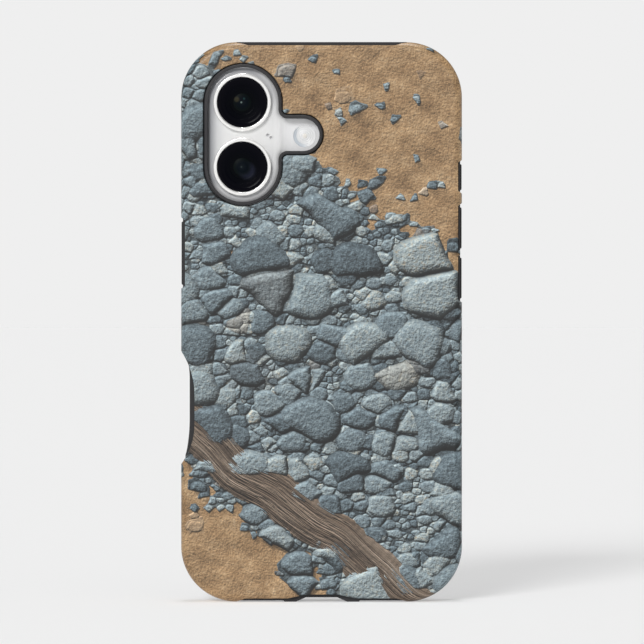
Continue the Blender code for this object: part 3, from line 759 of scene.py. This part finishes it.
COVER_ROUND, COVER_SOFT = 1.1 * MM, 0.3 * MM
for name in COVERS:
    low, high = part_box(name)
    if high.x > 0:
        high.x = HALF - TINY
    else:
        low.x = TINY - HALF
    cover = mould(name + "_pad", block(low, high, COVER_ROUND, 0, 10), rubber)
    soften(cover, COVER_SOFT, 4)
    fit(cover, MOVES_WITH[name], "black_rubber", name)


# Printed shell. Hard polycarbonate that snaps over the liner, 0.9 mm thick at the sides. Its back
# and sides carry a full-wrap print: slate river stones and a weathered branch on rippled sand.

SHELL_ROUND, SHELL_WALL, SHELL_BACK, EDGE_ROUND = 2.2 * MM, 0.9 * MM, 1.1 * MM, 0.25 * MM
SHELL_ENDS = (35.1 * MM, 13.5 * MM, 71.1 * MM, 15.1 * MM)
SHELL_DIP, PORT_RUN, PORT_DIP, NOTCH_ROUND = 3.7 * MM, 4.8 * MM, 2.05 * MM, 0.25 * MM
OBLONG, SKEW = 1.28, 1.7
rear, front = shell_low.y, shell_high.y


def art_place(finish):
    """Place on the print in mm from the middle of the back, which goes on round the sides."""
    inner = (HALF - CORNER, TALL / 2 - CORNER, 0)
    flat = finish.join(finish.x, finish.z - TALL / 2, 0.0)
    held = finish.vector("MAXIMUM", flat, [-size for size in inner])
    held = finish.vector("MINIMUM", held, inner)
    outward = finish.vector("NORMALIZE", finish.vector("SUBTRACT", flat, held))
    unrolled = finish.vector("ADD", flat, finish.scaled(outward, finish.y - rear))
    return finish.scaled(unrolled, 1 / MM)


def warped(finish, place, size, amount):
    """A place pushed about by soft noise, so that shapes on it lose their regular outline."""
    push = finish.vector("SUBTRACT", finish.noise(place, size, 2.0, 0.5, "Color"), (0.5, 0.5, 0.5))
    return finish.vector("ADD", place, finish.scaled(push, amount))


def bed(finish, place):
    """How thickly stones lie: nearly all over, but thinning out to bare sand at two corners."""
    across = finish.vector("DOT_PRODUCT", place, (0.62, 0.78, 0.0))
    across = across + finish.noise(place, 34.0, 2.0) * 44.0 - 22.0
    return (1 - across.rise(22.0, 44.0)) * across.rise(-64.0, -46.0)


def blend(share, first, second):
    return first + share * (second - first)


def sand(finish, place):
    """Bare sand in low soft drifts, as (height, stone share, wood share, tone, rim)."""
    drift = warped(finish, place, 13.0, 8.0)
    ripple = finish.vector("DOT_PRODUCT", drift, (0.45, 1.05, 0.0)).of("SINE")
    height = 2.2 * finish.noise(place, 11.0, 3.0) + 0.10 * ripple - 1.6
    return height, 0.0, 0.0, finish.noise(place, 7.0, 4.0, 0.6), 1.0


def stones(finish, place, size, shift, crowd, tall, under):
    """Beds one layer of river stones in what lies under it."""
    height, stone, wood, tone, rim = under
    moved = finish.vector("ADD", place, (shift, SKEW * shift, 0.0))
    squeezed = finish.vector("MULTIPLY", moved, (1.0, OBLONG, 1.0))
    bent = warped(finish, squeezed, 1.1 * size, 0.42 * size)
    sockets = {"Vector": bent, "Scale": 1.0 / size, "Randomness": 0.92}
    cells = finish.node("ShaderNodeTexVoronoi", {"voronoi_dimensions": "2D"}, sockets, "Distance")
    settings = {"voronoi_dimensions": "2D", "feature": "DISTANCE_TO_EDGE"}
    gap = finish.node("ShaderNodeTexVoronoi", settings, sockets, "Distance")
    toss = finish.split(cells.also("Color"))
    home = finish.vector("MULTIPLY", cells.also("Position"), (1.0, 1 / OBLONG, 1.0))
    home = finish.vector("SUBTRACT", home, (shift, SKEW * shift, 0.0))
    there = (bed(finish, home) * crowd[1] + crowd[0] - toss[1]).rise(-0.01, 0.01)
    reach = (0.46 + 0.2 * toss[0] - cells) * 3.2
    edge = (gap * 4.0 - 0.04).of("SMOOTH_MIN", reach, 0.25).of("MAXIMUM", 0.0).of("MINIMUM", 1.0)
    dome = (edge * (2 - edge)).of("SQRT")
    own = tall * dome * (0.6 + 0.4 * toss[0])
    over = there * (own - height).rise(0.02, 0.10)
    tone, rim = blend(over, tone, toss[2]), blend(over, rim, edge)
    return blend(over, height, own), blend(over, stone, over), wood * (1 - over), tone, rim


def branch(finish, place, way, start, half, under):
    """Lays a weathered branch over the bed, along a way and some distance off the middle."""
    height, stone, wood, tone, rim = under
    run = finish.vector("DOT_PRODUCT", place, (way[0], way[1], 0.0))
    off = finish.vector("DOT_PRODUCT", place, (-way[1], way[0], 0.0)) - start
    off = off + (finish.noise(finish.join(run, start, 0.0), 48.0, 2.0) - 0.5) * (2.4 * half)
    width = half * (0.55 + 0.90 * finish.noise(finish.join(run, 7.0, start), 15.0, 4.0, 0.65))
    share = (off / width).of("ABSOLUTE")
    fibre = warped(finish, finish.join(run * 0.05, off, start), 4.0, 1.5)
    grain = finish.noise(fibre, 1.3, 6.0, 0.68)
    furrow = 1 - (finish.noise(fibre, 2.2, 4.0, 0.65) - 0.5).of("ABSOLUTE").rise(0.0, 0.05)
    own = 3.6 * (1 - share * share).of("MAXIMUM", 0.0).of("SQRT") + 1.5 * grain - 1.1 * furrow
    over = (1 - share.rise(0.94, 1.0)) * (own - height).rise(0.02, 0.2)
    tone, rim = blend(over, tone, grain), blend(over, rim, 1 - 0.7 * furrow)
    return blend(over, height, own), stone * (1 - over), blend(over, wood, over), tone, rim


def scenery(finish, place):
    """The whole view that is printed: a river bed of slate stones, bare sand and a branch."""
    view = sand(finish, place)
    view = stones(finish, place, 2.3, 31.0, (0.03, 0.99), 0.9, view)
    view = stones(finish, place, 4.4, 57.0, (0.015, 0.80), 1.9, view)
    view = branch(finish, place, (0.80, -0.60), -45.0, 6.5, view)
    view = stones(finish, place, 8.0, 83.0, (0.0, 0.66), 3.4, view)
    return stones(finish, place, 14.5, 11.0, (-0.04, 0.52), 5.4, view)


art = Finish("printed_shell", Roughness=0.42)
spot = art_place(art)
height, stone, wood, tone, rim = scenery(art, spot)
pores = art.noise(spot, 1.1, 6.0, 0.78)
grit = art.noise(spot, 0.9, 5.0, 0.8)
LIGHT_WAY, SLOPE_STEP, SHADE_STEP = (-0.5, 0.86, 0.0), 0.35, 1.9


def roughened(finish, place, height, stone, wood):
    """Height with the fine roughness of the surfaces added."""
    bare_sand = (1 - stone - wood).of("MAXIMUM", 0.0)
    rough = finish.noise(place, 0.9, 5.0, 0.75) * (1.7 * stone + 0.6 * wood)
    return height + rough + finish.noise(place, 0.6, 4.0, 0.75) * bare_sand


nearby = art.vector("ADD", spot, tuple(SLOPE_STEP * c for c in LIGHT_WAY))
beside = scenery(art, nearby)
slope = roughened(art, spot, height, stone, wood) - roughened(art, nearby, *beside[:3])
towards_light = art.vector("ADD", spot, tuple(SHADE_STEP * c for c in LIGHT_WAY))
hidden = (scenery(art, towards_light)[0] - height).rise(0.5, 2.6)
light = (0.66 + 0.62 * slope / SLOPE_STEP).of("MAXIMUM", 0.10).of("MINIMUM", 1.7)
light = light * (1 - 0.62 * hidden) * (0.42 + 0.58 * rim.rise(0.0, 0.55))
slate = art.ramp(tone * 0.66 + pores * 1.9 - 0.78, [
    (0.0, (0.060, 0.080, 0.092)), (0.25, (0.130, 0.175, 0.200)), (0.5, (0.225, 0.290, 0.320)),
    (0.72, (0.330, 0.400, 0.420)), (0.9, (0.45, 0.50, 0.48)), (1.0, (0.46, 0.40, 0.30)),
])
dune = art.ramp(tone * 1.1 + grit * 1.3 - 0.72, [
    (0.1, (0.185, 0.105, 0.048)), (0.38, (0.40, 0.245, 0.118)), (0.6, (0.56, 0.365, 0.190)),
    (0.9, (0.74, 0.55, 0.34)),
])
bark = art.ramp(tone, [
    (0.28, (0.050, 0.034, 0.024)), (0.45, (0.130, 0.092, 0.064)), (0.60, (0.250, 0.190, 0.140)),
    (0.75, (0.42, 0.35, 0.28)),
])
picture = art.mix(wood, art.mix(stone, dune, slate), bark)
picture = art.mix(1.0, picture, art.join(light, light, light), "MULTIPLY")
art.show(Base_Color=picture, Roughness=0.38 + 0.08 * art.noise(art.place, 0.5 * MM))
art.bump(art.noise(art.place, 0.10 * MM, 2.0), 0.004 * MM)

outer = prism(rounded(0.0), rear, front)
round_rim(outer, rear, SHELL_ROUND, 10)
shell = mould("printed_shell", outer, art)
volume_gap = [(down[0].z - GAP - RAMP, -REACH), (down[0].z - GAP, BARE), (down[1].z + GAP, BARE)]
volume_gap += [(down[1].z + 2 * GAP, BRIDGE), (up[0].z - 2 * GAP, BRIDGE), (up[0].z - GAP, BARE)]
volume_gap += [(up[1].z + GAP, BARE), (up[1].z + GAP + RAMP, -REACH)]
port_gap = [(PORT_FLAT, PORT_DIP), (PORT_FLAT + PORT_RUN, FOOT_BARE), (FOOT_HALF + SEAM, FOOT_BARE)]
port_gap.append((FOOT_HALF + SEAM + FOOT_RUN * (1 + REACH / FOOT_BARE), -REACH))
port_gap += [(-place, depth) for place, depth in port_gap[::-1]]
top_gap = [(-TOP_HALF - SEAM - TOP_RUN * (1 + REACH / TOP_BARE), -REACH)]
top_gap.append((-TOP_HALF - SEAM, TOP_BARE))
top_gap += [(-place, depth) for place, depth in top_gap[::-1]]


def bare(low, high):
    """Stations of a bare place with slanted ends."""
    return [(low - RAMP, -REACH), (low, BARE), (high, BARE), (high + RAMP, -REACH)]


low_y, high_y = rear - REACH, front + REACH
opening = prism(camera_opening(RIM_WIDTH + EDGE_ROUND), low_y, rear)
terrace(opening, [*arc(EDGE_ROUND), (0, REACH)], 1)
cuts = [
    along("right", volume_gap, low_y, high_y, NOTCH_ROUND),
    along("right", bare(action[0].z - GAP, action[1].z + GAP), low_y, high_y, NOTCH_ROUND),
    along("left", bare(power[0].z - GAP, power[1].z + GAP), low_y, high_y, NOTCH_ROUND),
    along("left", dip(-REACH, SHELL_DIP, *SHELL_ENDS)[1:-1], low_y, high_y),
    along("top", top_gap, low_y, high_y),
    along("bottom", port_gap, low_y, high_y, NOTCH_ROUND),
    prism(rounded(SHELL_WALL), rear + SHELL_BACK, high_y),
    opening,
]
carve(shell, cuts)
smooth(shell)
fit(shell, "phone_and_case", "printed_shell", "case_shell")


# Studio. A plain pale floor that runs off into an even pale surround, lit by one broad soft light
# from the front left, which throws a long faint shadow back to the right, and by two from straight
# above. The stronger of those two throws no shadow, so that the floor stays clean at the base.

PALE, DIM, FLOOR_TONE = 0.863, 0.22, 0.842
BAND_LOW, BAND_HIGH = 0.10, 0.22
KEY_TURN, KEY_RISE, KEY_WIDTH = math.radians(19.8), math.radians(25), math.radians(20)
TOP_RISE, TOP_WIDTH = math.pi / 2, math.radians(6)
KEY_POWER, TOP_POWER, FILL_POWER = 1.70, 0.5, 1.25
DISTANCE, FIELD, SENSOR, FLOOR_HALF = 1.2, 175.4 * MM, 36.0, 60
EYE = (0.12 * MM, 76.27 * MM)


class Surround(Finish):
    """The pale room round the stage, as bright as the floor near its foot and dimmer above."""

    def __init__(self, name):
        self.world = bpy.data.worlds.new(name)
        self.world.use_nodes = True
        self.tree = self.world.node_tree
        self.shader = self.tree.nodes["Background"]
        self.place = self.node("ShaderNodeTexCoord", {}, {}, "Object")
        self.x, self.y, self.z = self.split(self.place)


floor_tone = (FLOOR_TONE, FLOOR_TONE, FLOOR_TONE, 1)
paper = Finish("studio_floor", Base_Color=floor_tone, Roughness=0.9, Specular_IOR_Level=0.0)
form = bmesh.new()
bmesh.ops.create_grid(form, x_segments=1, y_segments=1, size=FLOOR_HALF)
mould("studio_floor", form, paper)

studio = Surround("studio")
studio.shader.inputs["Color"].default_value = (1, 1, 1, 1)
studio.show(Strength=PALE - (PALE - DIM) * studio.z.rise(BAND_LOW, BAND_HIGH))
bpy.context.scene.world = studio.world


def shine(name, turn, rise, width, power, shades=True):
    """A far soft light that comes from the front, turned to the left and raised."""
    flat = math.cos(rise)
    beam = Vector((math.sin(turn) * flat, math.cos(turn) * flat, -math.sin(rise)))
    light = bpy.data.lights.new(name, "SUN")
    light.energy, light.angle, light.use_shadow = power, width, shades
    made = bpy.data.objects.new(name, light)
    made.rotation_euler = beam.to_track_quat("-Z", "Y").to_euler()
    bpy.context.scene.collection.objects.link(made)


shine("key_light", KEY_TURN, KEY_RISE, KEY_WIDTH, KEY_POWER)
shine("top_light", 0.0, TOP_RISE, TOP_WIDTH, TOP_POWER)
shine("fill_light", 0.0, TOP_RISE, TOP_WIDTH, FILL_POWER, shades=False)

optics = bpy.data.cameras.new("camera")
optics.sensor_width, optics.clip_start = SENSOR, 0.01
optics.lens = SENSOR * (DISTANCE + rear) / FIELD
camera = bpy.data.objects.new("camera", optics)
camera.location = (EYE[0], -DISTANCE, EYE[1])
camera.rotation_euler = (math.pi / 2, 0, 0)
bpy.context.scene.collection.objects.link(camera)
bpy.context.scene.camera = camera
bpy.context.scene.view_settings.view_transform = "Standard"
